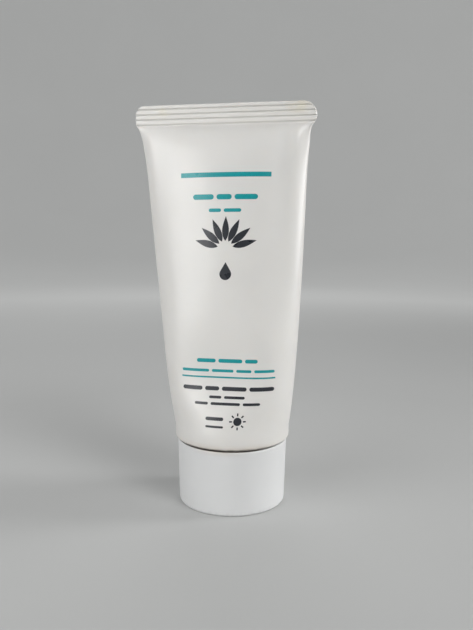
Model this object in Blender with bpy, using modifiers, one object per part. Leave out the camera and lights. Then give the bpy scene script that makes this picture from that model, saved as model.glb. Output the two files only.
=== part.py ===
"""Squeeze tube of sunscreen serum, standing on its screw cap.

The cap's closed end lies in the plane z = 0, the tube's axis is +Z and the
printed front faces -Y. All lengths are in metres.
"""
import math

import bmesh
import bpy

# Whole object
TUBE_RADIUS = 0.0175
OVERALL_HEIGHT = 0.1200
FIT_GAP = 0.0003          # clearance between neighbouring pieces
SEGMENTS = 48             # facets around every round piece
SHARP_DEGREES = 35        # edges of the sleeve sharper than this stay crisp
MERGE_DISTANCE = 0.000001

# Cap shell, the plain outer cup that the tube stands on
CAP_HEIGHT = 0.0196
CAP_STEP = 0.0007         # the cap's rim lies this far inside the sleeve
CAP_DRAFT = 0.0005        # radius lost from the rim to the closed end
CAP_WALL = 0.0015
CAP_DECK = 0.0015         # thickness of the closed end
CAP_EDGE_ROUND = 0.0009   # outer edge of the closed end
CAP_RIM_ROUND = 0.0003    # outer edge of the open rim
ROUND_STEPS = 4

# Cap liner, the threaded inner skirt with its flange
LINER_WALL = 0.0016
LINER_FLOOR = 0.0012
FLANGE_THICKNESS = 0.0012
FLANGE_RECESS = 0.0018    # flange below the cap's rim

# Thread shared by the neck and the liner
THREAD_PITCH = 0.0040
THREAD_DEPTH = 0.0010
THREAD_ROOT = 0.0015      # ridge width at its foot
THREAD_CREST = 0.0010     # ridge width at its top
THREAD_PLAY = 0.00045     # radial play on each side of the thread
THREAD_BITE = 0.0003      # how far a ridge reaches into its own wall
THREAD_TURNS = 1.75
LINER_FIRST_TURN = -0.6   # turn at which the liner's ridge begins
THREAD_LEAD_IN = 0.0016   # first ridge centre above the neck's tip
THREAD_STEPS = 32         # rings in one turn
THREAD_FADE_TURN = 0.1    # share of a turn over which an end rises
THREAD_END_SHARE = 0.3    # share of the depth left at an end

# Shoulder and neck of the tube
NECK_RADIUS = 0.0070
NECK_BORE = 0.0055
NECK_LENGTH = 0.0101
NECK_TIP_CHAMFER = 0.0003
SHOULDER_DROP = 0.0010    # fall of the cone from its rim to the neck
SHOULDER_THICKNESS = 0.0014
SHOULDER_SEAT = 0.0010    # flat ring above the cap's rim
SKIRT_HEIGHT = 0.0040
SKIRT_WALL = 0.0012

# Nozzle insert, the plug in the neck
NOZZLE_ORIFICE = 0.00125
NOZZLE_FLANGE_RADIUS = 0.0066
NOZZLE_FLANGE = 0.0008
NOZZLE_FLOOR = 0.0016
NOZZLE_WALL = 0.0013
NOZZLE_PLUG = 0.0060      # length of the plug inside the neck

# Sealing wad in the bottom of the liner
WAD_THICKNESS = 0.0010
WAD_BEVEL = 0.0002

# Sleeve
SLEEVE_WALL = 0.0005
SLEEVE_END_ROUND = 0.0012
SEAL_HEIGHT = 0.0062
SEAL_THICKNESS = 0.0012
SEAL_CORNER = 0.0037
SEAL_TUCK = 0.0006        # the band narrows this much a side towards the body
CORNER_SHARES = (0.0, 0.5, 0.85, 1.0)
GROOVE_COUNT = 4
GROOVE_PITCH = 0.0015
GROOVE_WIDTH = 0.0006
GROOVE_DEPTH = 0.0002
GROOVE_FIRST = 0.00125    # first groove below the top edge
TAPER_SHARE = 0.56        # depth lost along the filled body
TAPER_POWER = 0.83        # below one, more of that depth is lost low down
CLOSE_POWER = 20          # how late the faces close towards the seal
CREASE_SHARE = 0.30       # how pointed the sides are at the seal
PRESS_AT_SHARE = 0.19     # where along the filled body its faces are pressed flattest
PRESS_NARROWNESS = 4      # how quickly that fades below and above
PRESS_SQUARENESS = 2.0    # how much boxier than an oval the section is there
PRESS_LOSS_SHARE = 0.135  # depth lost there, which keeps the girth
SEAL_SHIFT = -0.0030      # the filled sleeve leans this far aside at the seal
LEAN_POWER = 1.05         # how late the sleeve leans
BODY_ROWS = 22
ROW_CROWDING = 1.5        # above one, the rows stand closer together near the seal

# Serum inside the sleeve
FILL_HEIGHT = 0.0560      # top of the serum above the sleeve's end

CAP_RIM_RADIUS = TUBE_RADIUS - CAP_STEP
CAP_END_RADIUS = CAP_RIM_RADIUS - CAP_DRAFT
SLEEVE_END = CAP_HEIGHT + FIT_GAP
SLEEVE_LENGTH = OVERALL_HEIGHT - SLEEVE_END
SEAL_START = SLEEVE_LENGTH - SEAL_HEIGHT
NECK_TIP = -SHOULDER_DROP - NECK_LENGTH
LINER_BORE = NECK_RADIUS + THREAD_DEPTH + THREAD_PLAY
WAD_TOP = SLEEVE_END + NECK_TIP - FIT_GAP - NOZZLE_FLANGE - FIT_GAP

PLASTIC_WHITE = (0.80, 0.78, 0.75)
CAP_WHITE = (0.76, 0.76, 0.75)
SHOULDER_WHITE = (0.83, 0.83, 0.82)
INSERT_CLEAR = (0.72, 0.75, 0.76)
WAD_GREY = (0.66, 0.66, 0.64)
SERUM_CREAM = (0.86, 0.80, 0.68)


def clear_scene():
    for old in list(bpy.data.objects):
        bpy.data.objects.remove(old, do_unlink=True)


def new_collection(name):
    collection = bpy.data.collections.new(name)
    bpy.context.scene.collection.children.link(collection)
    return collection


def plastic(name, colour, roughness):
    material = bpy.data.materials.new(name)
    material.use_nodes = True
    shader = material.node_tree.nodes["Principled BSDF"]
    shader.inputs["Base Color"].default_value = (*colour, 1.0)
    shader.inputs["Roughness"].default_value = roughness
    shader.inputs["Metallic"].default_value = 0.0
    return material


def add_object(name, mesh, collection, parent=None, material=None):
    thing = bpy.data.objects.new(name, mesh)
    collection.objects.link(thing)
    thing.parent = parent
    if material:
        mesh.materials.append(material)
    return thing


def add_frame(name, height, collection):
    """Empty on the tube's axis that carries a group of pieces."""
    empty = bpy.data.objects.new(name, None)
    collection.objects.link(empty)
    empty.location = (0.0, 0.0, height)
    empty.empty_display_size = TUBE_RADIUS
    return empty


def arc(centre, radius, start, end, steps=ROUND_STEPS):
    """Points (r, z) on an arc, with its angles in degrees."""
    angles = [math.radians(start + (end - start) * i / steps) for i in range(steps + 1)]
    return [(centre[0] + radius * math.cos(a), centre[1] + radius * math.sin(a)) for a in angles]


def turned(name, outline, closed, collection, parent, material):
    """Round piece from an outline (r, z) that runs down its outer side."""
    mesh = bpy.data.meshes.new(name)
    count = len(outline)
    edges = [(i, i + 1) for i in range(count - 1)]
    if closed:
        edges.append((count - 1, 0))
    mesh.from_pydata([(r, 0.0, z) for r, z in outline], edges, [])
    thing = add_object(name, mesh, collection, parent, material)
    screw = thing.modifiers.new("turn", "SCREW")
    screw.axis = "Z"
    screw.steps = SEGMENTS
    screw.render_steps = SEGMENTS
    screw.use_merge_vertices = True
    screw.merge_threshold = MERGE_DISTANCE
    screw.use_smooth_shade = False
    return thing


def loft(name, rings):
    """Mesh through rings of equally many points, with both ends closed."""
    shape = bmesh.new()
    rows = [[shape.verts.new(point) for point in ring] for ring in rings]
    count = len(rings[0])
    for lower, upper in zip(rows, rows[1:]):
        for i in range(count):
            j = (i + 1) % count
            shape.faces.new((lower[i], lower[j], upper[j], upper[i]))
    shape.faces.new(rows[0][::-1])
    shape.faces.new(rows[-1])
    bmesh.ops.recalc_face_normals(shape, faces=shape.faces)
    mesh = bpy.data.meshes.new(name)
    shape.to_mesh(mesh)
    shape.free()
    return mesh


def circle(radius, height):
    angles = [2 * math.pi * i / SEGMENTS for i in range(SEGMENTS)]
    return [(radius * math.cos(a), radius * math.sin(a), height) for a in angles]


def width_for_depth(depth):
    """Half width of an oval that keeps the round end's girth."""
    low, high = depth, 2 * TUBE_RADIUS
    for _ in range(50):
        width = (low + high) / 2
        spread = ((width - depth) / (width + depth)) ** 2
        girth = math.pi * (width + depth) * (1 + 3 * spread / (10 + math.sqrt(4 - 3 * spread)))
        if girth < 2 * math.pi * TUBE_RADIUS:
            low = width
        else:
            high = width
    return width


def pressed(share):
    """How far the faces are pressed flat: one at its height, less below and above."""
    away = share / PRESS_AT_SHARE
    return (away * math.exp(1 - away)) ** PRESS_NARROWNESS


def body_section(height, inset):
    """Ring of the filled sleeve, from round at its end to flat at the seal."""
    share = min(max((height - SKIRT_HEIGHT) / (SEAL_START - SKIRT_HEIGHT), 0.0), 1.0)
    closing = share ** CLOSE_POWER
    seal = SEAL_THICKNESS / 2
    filled = TUBE_RADIUS * (1 - TAPER_SHARE * share ** TAPER_POWER)
    depth = seal + (filled - seal) * math.sqrt(1 - closing)
    flattened = depth * (1 - PRESS_LOSS_SHARE * pressed(share))
    return oval(width_for_depth(depth) - inset, flattened - inset, share, height)


def oval(width, depth, share, height):
    """Ring whose sides grow more pointed, and then flat, towards the seal."""
    closing = share ** CLOSE_POWER
    seal = min(SEAL_THICKNESS / 2, depth) * closing
    crease = 1 + CREASE_SHARE * share
    power = 2 + PRESS_SQUARENESS * pressed(share)
    edge = math.sin(2 * math.pi / SEGMENTS)
    centre = SEAL_SHIFT * share ** LEAN_POWER
    ring = []
    for i in range(SEGMENTS):
        angle = 2 * math.pi * i / SEGMENTS
        rise = math.sqrt(1 - abs(math.cos(angle)) ** power)
        side = 1 if math.sin(angle) > 0 else -1
        bulge = (depth - seal) * rise ** crease
        band = seal * min(1.0, rise / edge)
        ring.append((centre + width * math.cos(angle), side * (bulge + band), height))
    return ring


def end_rings(inset):
    """Rings of the sleeve's end, which turns in round the shoulder."""
    rounding = SLEEVE_END_ROUND
    centre = (TUBE_RADIUS - rounding, rounding)
    return [circle(r, z) for r, z in arc(centre, rounding - inset, -90, 0)]


def body_heights():
    """Row heights of the filled body, from the top of the shoulder's skirt."""
    shares = [1 - (1 - i / BODY_ROWS) ** ROW_CROWDING for i in range(BODY_ROWS)]
    return [SKIRT_HEIGHT + (SEAL_START - SKIRT_HEIGHT) * share for share in shares]


def seal_half_width(height):
    """Half width of the seal: tucked in below, rounded at its top corners."""
    full = width_for_depth(SEAL_THICKNESS / 2)
    above = height - (SLEEVE_LENGTH - SEAL_CORNER)
    if above <= 0:
        return full + SEAL_TUCK * above / (SEAL_HEIGHT - SEAL_CORNER)
    return full - SEAL_CORNER + math.sqrt(max(SEAL_CORNER ** 2 - above ** 2, 0.0))


def seal_rings():
    """Rings of the welded band, with pressed grooves on both faces."""
    full = SEAL_THICKNESS / 2
    levels = [(SEAL_START, full)]
    for i in reversed(range(GROOVE_COUNT)):
        centre = SLEEVE_LENGTH - GROOVE_FIRST - i * GROOVE_PITCH
        levels.append((centre - GROOVE_WIDTH / 2, full))
        levels.append((centre, full - GROOVE_DEPTH))
        levels.append((centre + GROOVE_WIDTH / 2, full))
    last = GROOVE_FIRST - GROOVE_WIDTH / 2
    levels += [(SLEEVE_LENGTH - last * (1 - share), full) for share in CORNER_SHARES[1:]]
    return [oval(seal_half_width(z), depth, 1.0, z) for z, depth in levels]


def make_sleeve(collection, parent):
    heights = body_heights()
    inner = [body_section(z, SLEEVE_WALL) for z in heights]
    outer = [body_section(z, 0.0) for z in heights]
    rings = inner[::-1] + end_rings(SLEEVE_WALL)[::-1]
    rings += end_rings(0.0) + outer + seal_rings()
    mesh = loft("tube_sleeve", rings)
    mesh.shade_smooth()
    mesh.set_sharp_from_angle(angle=math.radians(SHARP_DEGREES))
    add_object("tube_sleeve", mesh, collection, parent, plastic("sleeve", PLASTIC_WHITE, 0.38))


def thread_ridge(name, wall, crest, start, first_turn, collection, parent):
    """Helical ridge from inside its wall to its crest, for a Boolean union.

    The ridge's centre is at the height start where its turn is zero.
    """
    outward = 1 if crest > wall else -1
    slope = (THREAD_ROOT - THREAD_CREST) / 2 / THREAD_DEPTH
    foot_half = THREAD_ROOT / 2 + slope * THREAD_BITE
    foot = wall - outward * THREAD_BITE
    count = round(THREAD_TURNS * THREAD_STEPS)
    rings = []
    for i in range(count + 1):
        run = THREAD_TURNS * i / count
        turn = first_turn + run
        rise = min(run, THREAD_TURNS - run) / THREAD_FADE_TURN
        lift = THREAD_END_SHARE + (1 - THREAD_END_SHARE) * min(1.0, rise)
        top = wall + (crest - wall) * lift
        top_half = THREAD_ROOT / 2 - slope * THREAD_DEPTH * lift
        height = start + THREAD_PITCH * turn
        angle = 2 * math.pi * turn
        corners = [(foot, -foot_half), (top, -top_half), (top, top_half), (foot, foot_half)]
        rings.append([
            (r * math.cos(angle), r * math.sin(angle), height + z) for r, z in corners
        ])
    ridge = add_object(name, loft(name, rings), collection, parent)
    ridge.display_type = "WIRE"
    ridge.hide_render = True
    return ridge


def join(piece, ridge):
    union = piece.modifiers.new("thread", "BOOLEAN")
    union.operation = "UNION"
    union.solver = "EXACT"
    union.object = ridge


def male_thread_start():
    return NECK_TIP + THREAD_LEAD_IN


def thread_offset():
    """Height of the liner's ridge above the neck's ridge that it holds."""
    slope = (THREAD_ROOT - THREAD_CREST) / 2 / THREAD_DEPTH
    return (THREAD_ROOT + THREAD_CREST) / 2 - slope * THREAD_PLAY + FIT_GAP


def make_shoulder(collection, cutters, parent):
    lip = TUBE_RADIUS - SLEEVE_END_ROUND - FIT_GAP
    skirt = TUBE_RADIUS - SLEEVE_WALL - FIT_GAP
    inside = skirt - SKIRT_WALL
    outline = [
        (inside, SKIRT_HEIGHT),
        (skirt, SKIRT_HEIGHT),
        (skirt, SLEEVE_END_ROUND),
        (lip, SLEEVE_WALL + FIT_GAP),
        (lip, 0.0),
        (lip - SHOULDER_SEAT, 0.0),
        (NECK_RADIUS, -SHOULDER_DROP),
        (NECK_RADIUS, NECK_TIP + NECK_TIP_CHAMFER),
        (NECK_RADIUS - NECK_TIP_CHAMFER, NECK_TIP),
        (NECK_BORE, NECK_TIP),
        (NECK_BORE, SHOULDER_THICKNESS - SHOULDER_DROP),
        (inside, SHOULDER_THICKNESS),
    ]
    piece = turned("tube_shoulder", outline, True, collection, parent,
                   plastic("shoulder", SHOULDER_WHITE, 0.45))
    ridge = thread_ridge("neck_thread", NECK_RADIUS, NECK_RADIUS + THREAD_DEPTH,
                         male_thread_start(), 0.0, cutters, parent)
    join(piece, ridge)


def make_nozzle(collection, parent):
    plug = NECK_BORE - FIT_GAP
    seat = NECK_TIP - FIT_GAP
    face = seat - NOZZLE_FLANGE
    floor = face + NOZZLE_FLOOR
    outline = [
        (plug - NOZZLE_WALL, seat + NOZZLE_PLUG),
        (plug, seat + NOZZLE_PLUG),
        (plug, seat),
        (NOZZLE_FLANGE_RADIUS, seat),
        (NOZZLE_FLANGE_RADIUS, face),
        (NOZZLE_ORIFICE, face),
        (NOZZLE_ORIFICE, floor),
        (plug - NOZZLE_WALL, floor),
    ]
    turned("nozzle_insert", outline, True, collection, parent,
           plastic("insert", INSERT_CLEAR, 0.40))


def make_serum(collection, parent):
    inset = SLEEVE_WALL + FIT_GAP
    plug = NECK_BORE - FIT_GAP
    cup = plug - NOZZLE_WALL - FIT_GAP
    cup_floor = NECK_TIP - FIT_GAP - NOZZLE_FLANGE + NOZZLE_FLOOR
    plug_top = NECK_TIP + NOZZLE_PLUG
    inside = TUBE_RADIUS - inset - SKIRT_WALL - FIT_GAP
    above_cone = 2 * FIT_GAP
    start = SKIRT_HEIGHT + FIT_GAP
    rings = [
        circle(cup, cup_floor + FIT_GAP),
        circle(cup, plug_top),
        circle(plug, plug_top),
        circle(plug, SHOULDER_THICKNESS - SHOULDER_DROP + above_cone),
        circle(inside, SHOULDER_THICKNESS + above_cone),
        circle(inside, start),
        body_section(start, inset),
    ]
    levels = [z for z in body_heights() if start < z < FILL_HEIGHT]
    rings += [body_section(z, inset) for z in levels + [FILL_HEIGHT]]
    mesh = loft("serum_fill", rings)
    add_object("serum_fill", mesh, collection, parent, plastic("serum", SERUM_CREAM, 0.20))


def cap_radius(height):
    """Outer radius of the drafted cap shell."""
    return CAP_END_RADIUS + (CAP_RIM_RADIUS - CAP_END_RADIUS) * height / CAP_HEIGHT


def make_cap_shell(collection, parent):
    rim_centre = (CAP_RIM_RADIUS - CAP_RIM_ROUND, CAP_HEIGHT - CAP_RIM_ROUND)
    edge_centre = (cap_radius(CAP_EDGE_ROUND) - CAP_EDGE_ROUND, CAP_EDGE_ROUND)
    outline = [
        (0.0, CAP_DECK),
        (cap_radius(CAP_DECK) - CAP_WALL, CAP_DECK),
        (CAP_RIM_RADIUS - CAP_WALL, CAP_HEIGHT),
    ]
    outline += arc(rim_centre, CAP_RIM_ROUND, 90, 0)
    outline += arc(edge_centre, CAP_EDGE_ROUND, 0, -90)
    outline.append((0.0, 0.0))
    turned("cap_shell", outline, False, collection, parent, plastic("cap", CAP_WHITE, 0.35))


def make_cap_liner(collection, cutters, parent):
    floor_top = WAD_TOP - WAD_THICKNESS - FIT_GAP
    foot = CAP_DECK + FIT_GAP
    outside = LINER_BORE + LINER_WALL
    flange_top = CAP_HEIGHT - FLANGE_RECESS
    flange_under = flange_top - FLANGE_THICKNESS
    reach = cap_radius(flange_under) - CAP_WALL - FIT_GAP
    outline = [
        (0.0, floor_top),
        (LINER_BORE, floor_top),
        (LINER_BORE, flange_top),
        (reach, flange_top),
        (reach, flange_under),
        (outside, flange_under),
        (outside, foot),
        (LINER_BORE, foot),
        (LINER_BORE, floor_top - LINER_FLOOR),
        (0.0, floor_top - LINER_FLOOR),
    ]
    piece = turned("cap_liner", outline, False, collection, parent,
                   plastic("liner", CAP_WHITE, 0.45))
    start = SLEEVE_END + male_thread_start() + thread_offset()
    ridge = thread_ridge("liner_thread", LINER_BORE, LINER_BORE - THREAD_DEPTH,
                         start, LINER_FIRST_TURN, cutters, parent)
    join(piece, ridge)


def make_wad(collection, parent):
    shape = bmesh.new()
    radius = LINER_BORE - FIT_GAP
    bmesh.ops.create_cone(shape, cap_ends=True, segments=SEGMENTS, radius1=radius,
                          radius2=radius, depth=WAD_THICKNESS)
    mesh = bpy.data.meshes.new("sealing_wad")
    shape.to_mesh(mesh)
    shape.free()
    wad = add_object("sealing_wad", mesh, collection, parent, plastic("wad", WAD_GREY, 0.80))
    wad.location = (0.0, 0.0, WAD_TOP - WAD_THICKNESS / 2)
    bevel = wad.modifiers.new("edge", "BEVEL")
    bevel.width = WAD_BEVEL
    bevel.segments = 1
    bevel.limit_method = "ANGLE"


def main():
    clear_scene()
    pieces = new_collection("sunscreen_tube")
    cutters = new_collection("cutters")
    cap_frame = add_frame("cap_frame", 0.0, pieces)
    tube_frame = add_frame("tube_frame", SLEEVE_END, pieces)
    make_cap_shell(pieces, cap_frame)
    make_cap_liner(pieces, cutters, cap_frame)
    make_wad(pieces, cap_frame)
    make_shoulder(pieces, cutters, tube_frame)
    make_nozzle(pieces, tube_frame)
    make_serum(pieces, tube_frame)
    make_sleeve(pieces, tube_frame)


main()
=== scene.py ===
"""Looks of the sunscreen serum tube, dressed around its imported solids."""
import math

import bmesh
import bpy
from mathutils import Matrix, Vector, noise


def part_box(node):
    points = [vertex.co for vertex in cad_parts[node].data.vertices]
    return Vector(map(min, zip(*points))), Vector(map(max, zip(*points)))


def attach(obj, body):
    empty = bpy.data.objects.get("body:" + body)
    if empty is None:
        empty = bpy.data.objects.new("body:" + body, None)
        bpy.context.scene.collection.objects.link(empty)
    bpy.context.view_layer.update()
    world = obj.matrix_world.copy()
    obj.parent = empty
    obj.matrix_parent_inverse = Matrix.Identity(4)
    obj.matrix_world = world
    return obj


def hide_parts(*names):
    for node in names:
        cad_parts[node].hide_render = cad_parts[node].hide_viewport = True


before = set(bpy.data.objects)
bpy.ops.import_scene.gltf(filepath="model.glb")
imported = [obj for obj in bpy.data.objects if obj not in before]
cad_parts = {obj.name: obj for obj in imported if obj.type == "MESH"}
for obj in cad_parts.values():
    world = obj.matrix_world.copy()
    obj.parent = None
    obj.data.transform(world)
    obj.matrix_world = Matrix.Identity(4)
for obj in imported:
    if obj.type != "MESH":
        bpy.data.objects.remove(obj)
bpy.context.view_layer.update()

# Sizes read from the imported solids
SLEEVE_LOW, SLEEVE_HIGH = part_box("tube_sleeve")
CAP_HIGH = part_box("cap_shell")[1]
SHOULDER_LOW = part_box("tube_shoulder")[0]
INSERT_LOW, INSERT_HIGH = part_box("nozzle_insert")
LINER_LOW, LINER_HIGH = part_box("cap_liner")
WAD_LOW, WAD_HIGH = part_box("sealing_wad")
TUBE_RADIUS = SLEEVE_HIGH.y
SLEEVE_END = SLEEVE_LOW.z
SLEEVE_LENGTH = SLEEVE_HIGH.z - SLEEVE_END
SEAL_SHIFT = (SLEEVE_LOW.x + SLEEVE_HIGH.x) / 2
SEAL_HALF_WIDTH = (SLEEVE_HIGH.x - SLEEVE_LOW.x) / 2
CAP_HEIGHT = CAP_HIGH.z
CAP_RIM_RADIUS = CAP_HIGH.x
FIT_GAP = SLEEVE_END - CAP_HEIGHT
NECK_TIP = SHOULDER_LOW.z

# Sleeve, as the solid has it
SLEEVE_WALL = 0.0005
END_ROUND = 0.0012
SKIRT_HEIGHT = 0.0040
SEAL_HEIGHT = 0.0062
SEAL_THICKNESS = 0.0012
RIGHT_CORNER = 0.0042
LEFT_CORNER = 0.0028
TAPER_SHARE = 0.56
TAPER_POWER = 0.83
CLOSE_POWER = 20
CREASE_SHARE = 0.30
PRESS_AT_SHARE = 0.19
PRESS_NARROWNESS = 4
PRESS_SQUARENESS = 2.0
PRESS_LOSS_SHARE = 0.135
LEAN_POWER = 1.05
SEAL_START = SLEEVE_LENGTH - SEAL_HEIGHT

# Weld: its lower corners, its cut edge and its pressed lines, counted from the top
RIGHT_TUCK = 0.0008
LEFT_TUCK = 0.0004
TUCK_HEIGHT = 0.0019
TUCK_FROM_SHARE = 0.92
SEAL_EDGE_SINE = 0.13
SEAL_TOP_ROUND = 0.00035
GROOVE_COUNT = 4
GROOVE_PITCH = 0.0015
GROOVE_HALF_WIDTH = 0.00040
GROOVE_DEPTH = 0.00032
GROOVE_FIRST = 0.00125

# Handled shape of the filled body: a dimple, two side folds and slow waves
DIMPLE_AT = (0.0030, 0.079)
DIMPLE_SIZE = (0.0110, 0.0120)
DIMPLE_DEPTH = 0.00040
FOLD_INSET = 0.0032
FOLD_SPREAD = 0.0017
FOLD_RISE_RIGHT = 0.00075
FOLD_RISE_LEFT = 0.00025
VALLEY_INSET = 0.0072
VALLEY_SPREAD = 0.0026
VALLEY_SHARE = 0.45
FOLD_FROM = 0.042
WAVE_RISE = 0.00010
WAVE_SCALE = 55.0
WAVE_FACES_APART = 3.0
RELIEF_COMES = (0.02, 0.25)
RELIEF_GOES = (0.95, 1.0)

# Fineness of the visible meshes, and the angle in degrees above which an edge stays sharp
SLEEVE_SEGMENTS = 240
BODY_ROWS = 130
INNER_ROWS = 40
ROW_CROWDING = 1.5
SEAL_ROWS = 96
SEAL_ROW_CROWDING = 1.25
ROUND_ROWS = 10
CAP_SEGMENTS = 256
CAP_WALL_ROWS = 24
CAP_DECK_ROWS = 8
CAP_RIM_STEPS = 6
CAP_EDGE_STEPS = 10
INNER_SEGMENTS = 160
THREAD_STEPS = 96
EASE_STEPS = 4
THREAD_EASE_STEPS = 3
DISC_ROUND_STEPS = 4
EASE_LIMIT_SHARE = 0.4
WIDTH_HALVINGS = 40
SHARP_ANGLE = 35.0
SLEEVE_SHARP_ANGLE = 40.0
INK_SHARP_ANGLE = 60.0
FLOOR_SHARP_ANGLE = 80.0

# Cap shell, as the solid has it, with the small mark of its moulding gate
CAP_DRAFT = 0.0005
CAP_END_RADIUS = CAP_RIM_RADIUS - CAP_DRAFT
CAP_WALL = 0.0015
CAP_DECK = 0.0015
CAP_EDGE_ROUND = 0.0009
CAP_RIM_ROUND = 0.0003
GATE_RADIUS = 0.0009
GATE_DEPTH = 0.0002

# Neck, liner and their thread, as the solids have them
THREAD_PITCH = 0.0040
THREAD_DEPTH = 0.0010
THREAD_ROOT = 0.0015
THREAD_CREST = 0.0010
THREAD_PLAY = 0.00045
THREAD_BITE = 0.0003
THREAD_TURNS = 1.75
THREAD_FADE_TURN = 0.1
THREAD_END_SHARE = 0.3
LINER_FIRST_TURN = -0.6
THREAD_LEAD_IN = 0.0016
NECK_RADIUS = 0.0070
NECK_BORE = 0.0055
NECK_TIP_CHAMFER = 0.0003
SHOULDER_DROP = 0.0010
SHOULDER_THICKNESS = 0.0014
SHOULDER_SEAT = 0.0010
SKIRT_WALL = 0.0012
NOZZLE_ORIFICE = 0.00125
NOZZLE_FLOOR = 0.0016
NOZZLE_WALL = 0.0013
LINER_WALL = 0.0016
LINER_FLOOR = 0.0012
FLANGE_THICKNESS = 0.0012
LINER_BORE = NECK_RADIUS + THREAD_DEPTH + THREAD_PLAY
SMALL_ROUND = 0.0002
THREAD_SLOPE = (THREAD_ROOT - THREAD_CREST) / 2 / THREAD_DEPTH
NECK_THREAD_START = NECK_TIP + THREAD_LEAD_IN

# Camera, from the photo's outline and the cap's two curves, with angles in degrees
PHOTO_WIDTH = 473
PHOTO_HEIGHT = 630
FOCAL_PIXELS = 630.0
SENSOR = 36.0
CAMERA_SEES = (0.01, 20.0)
CAMERA_DISTANCE = 0.1911
CAMERA_HEIGHT = 0.0800
CAMERA_AZIMUTH = 11.6
CAMERA_PAN = -0.33
CAMERA_PITCH = 6.77
CAMERA_ROLL = 0.38

# Print, in metres above the floor and from the label's own centre line. A bar is its height,
# width and thickness, and a row of words is its height, thickness and widths.
LABEL_SHIFT = 0.0016
LABEL_TILT = 0.009
INK_OUT = 0.000025
INK_IN = 0.00004
INK_STEP = 0.0007
BAR_CORNER = 0.00005
BAR_CORNER_STEPS = 5
WORD_ROUND_SHARE = 0.49
PATCH_RINGS = 4
TOP_BAR = (0.0986, 0.0263, 0.00135)
THIN_RULE = (0.0407, 0.0273, 0.00045)
WORD_GAP = 0.0008
TEAL_WORDS = (
    (0.0923, 0.00150, (0.0062, 0.0044, 0.0066)),
    (0.0885, 0.00100, (0.0036, 0.0050)),
    (0.0455, 0.00110, (0.0056, 0.0070, 0.0036)),
    (0.0426, 0.00080, (0.0082, 0.0064, 0.0044, 0.0056)),
)
DARK_WORDS = (
    (0.0375, 0.00115, (0.0060, 0.0042, 0.0072, 0.0068)),
    (0.0351, 0.00075, (0.0036, 0.0060)),
    (0.0333, 0.00075, (0.0040, 0.0086, 0.0048)),
)
SIDE_WORDS = ((0.0292, 0.00095, 0.0053), (0.0270, 0.00060, 0.0053))
SIDE_WORDS_SHIFT = -0.0034
FAN_FOOT = 0.0776
FAN_INNER = 0.0022
FAN_REACH = 0.0092
FAN_SPREAD = 150.0
FAN_LEAVES = 7
LEAF_HALF_WIDTH = 0.00098
LEAF_STEPS = 12
LEAF_SKEW = 0.8
DROP_AT = 0.0704
DROP_RADIUS = 0.0017
DROP_TIP = 0.0034
DROP_STEPS = 28
DROP_SIDE_STEPS = 5
SUN_AT = 0.0286
SUN_SHIFT = 0.0033
SUN_RADIUS = 0.00115
SUN_STEPS = 28
SUN_RAYS = 8
RAY_START = 0.00150
RAY_END = 0.00235
RAY_WIDTH = 0.00040
RAY_ROUND_SHARE = 0.45
RAY_RINGS = 2

# Colours
SLEEVE_WHITE = (0.80, 0.785, 0.755)
CAP_WHITE = (0.765, 0.77, 0.77)
SHOULDER_WHITE = (0.80, 0.80, 0.79)
PLUG_WHITE = (0.72, 0.75, 0.76)
LINER_WHITE = (0.76, 0.76, 0.75)
# The foam's pits are darkened with painted shade
FOAM_PIT_SHADE, FOAM_TOP = (0.52, 0.52, 0.50), (0.68, 0.68, 0.66)
CREAM_DEEP, CREAM_PALE = (0.80, 0.73, 0.60), (0.87, 0.81, 0.69)
# Dark brown of the seam line: dried serum, with painted shade of the gap between sleeve and cap
RESIDUE_AND_SHADE = (0.060, 0.040, 0.022)
RESIDUE_PALE = (0.66, 0.55, 0.43)
SMUDGE_YELLOW = (0.74, 0.68, 0.50)
TEAL = (0.0, 0.335, 0.36)
DARK = (0.018, 0.021, 0.028)

# How much of its brightness a colour keeps where it is darkest, and how strongly marks cover
SLEEVE_CLOUD_SHADE, CAP_CLOUD_SHADE = 0.97, 0.975
SPECK_SHADE, SPECK_COVER = 0.72, 0.07
# Painted shade in the weld's pressed lines
GROOVE_PAINTED_SHADE, GROOVE_COVER = 0.60, 0.45
SCUFF_SHADE, SCUFF_COVER = 0.80, 0.5
SEAM_PALE_COVER, STAIN_COVER = 0.35, 0.35
FLOW_SHADE = 0.94
THIN_INK_SHADE = 0.82
PAPER_SHADE = 0.98

# Spans that values are mapped from or to
WHOLE = (0.0, 1.0)
FALLING = (1.0, 0.0)
NOISE_SPAN = (0.3, 0.7)
CLOUD_SPAN = (0.35, 0.65)
SPECK_SPAN, SPECK_PATCH_SPAN = (0.66, 0.72), (0.5, 0.62)
SCRATCH_SPAN, SCUFF_SPAN = (0.64, 0.74), (0.45, 0.60)
BREAK_SPAN, BREAK_COVER = (0.30, 0.52), (0.35, 1.0)
BLOT_SPAN, BLOT_COVER = (0.4, 0.6), (0.2, 1.0)
SEAM_COVER, RIM_COVER = (0.20, 1.0), (0.2, 0.9)
PIT_SPAN = (0.1, 0.6)
INK_SPAN = (0.25, 0.7)

# Roughness, from the glossiest places to the dullest
SLEEVE_ROUGHNESS, CAP_ROUGHNESS = (0.285, 0.36), (0.38, 0.48)
SCRATCH_ADDS, SCUFF_ADDS = (0.0, 0.03), 0.15
SHOULDER_ROUGHNESS, PLUG_ROUGHNESS, LINER_ROUGHNESS = (0.39, 0.51), (0.32, 0.44), (0.40, 0.52)
FOAM_ROUGHNESS, CREAM_ROUGHNESS = (0.70, 0.88), (0.16, 0.26)
INK_ROUGHNESS = (0.26, 0.38)
PAPER_ROUGHNESS = 0.85

# Share of light that spreads under the skin of the moulded plastics
HAZE, MILKY_HAZE = 0.10, 0.35

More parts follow.
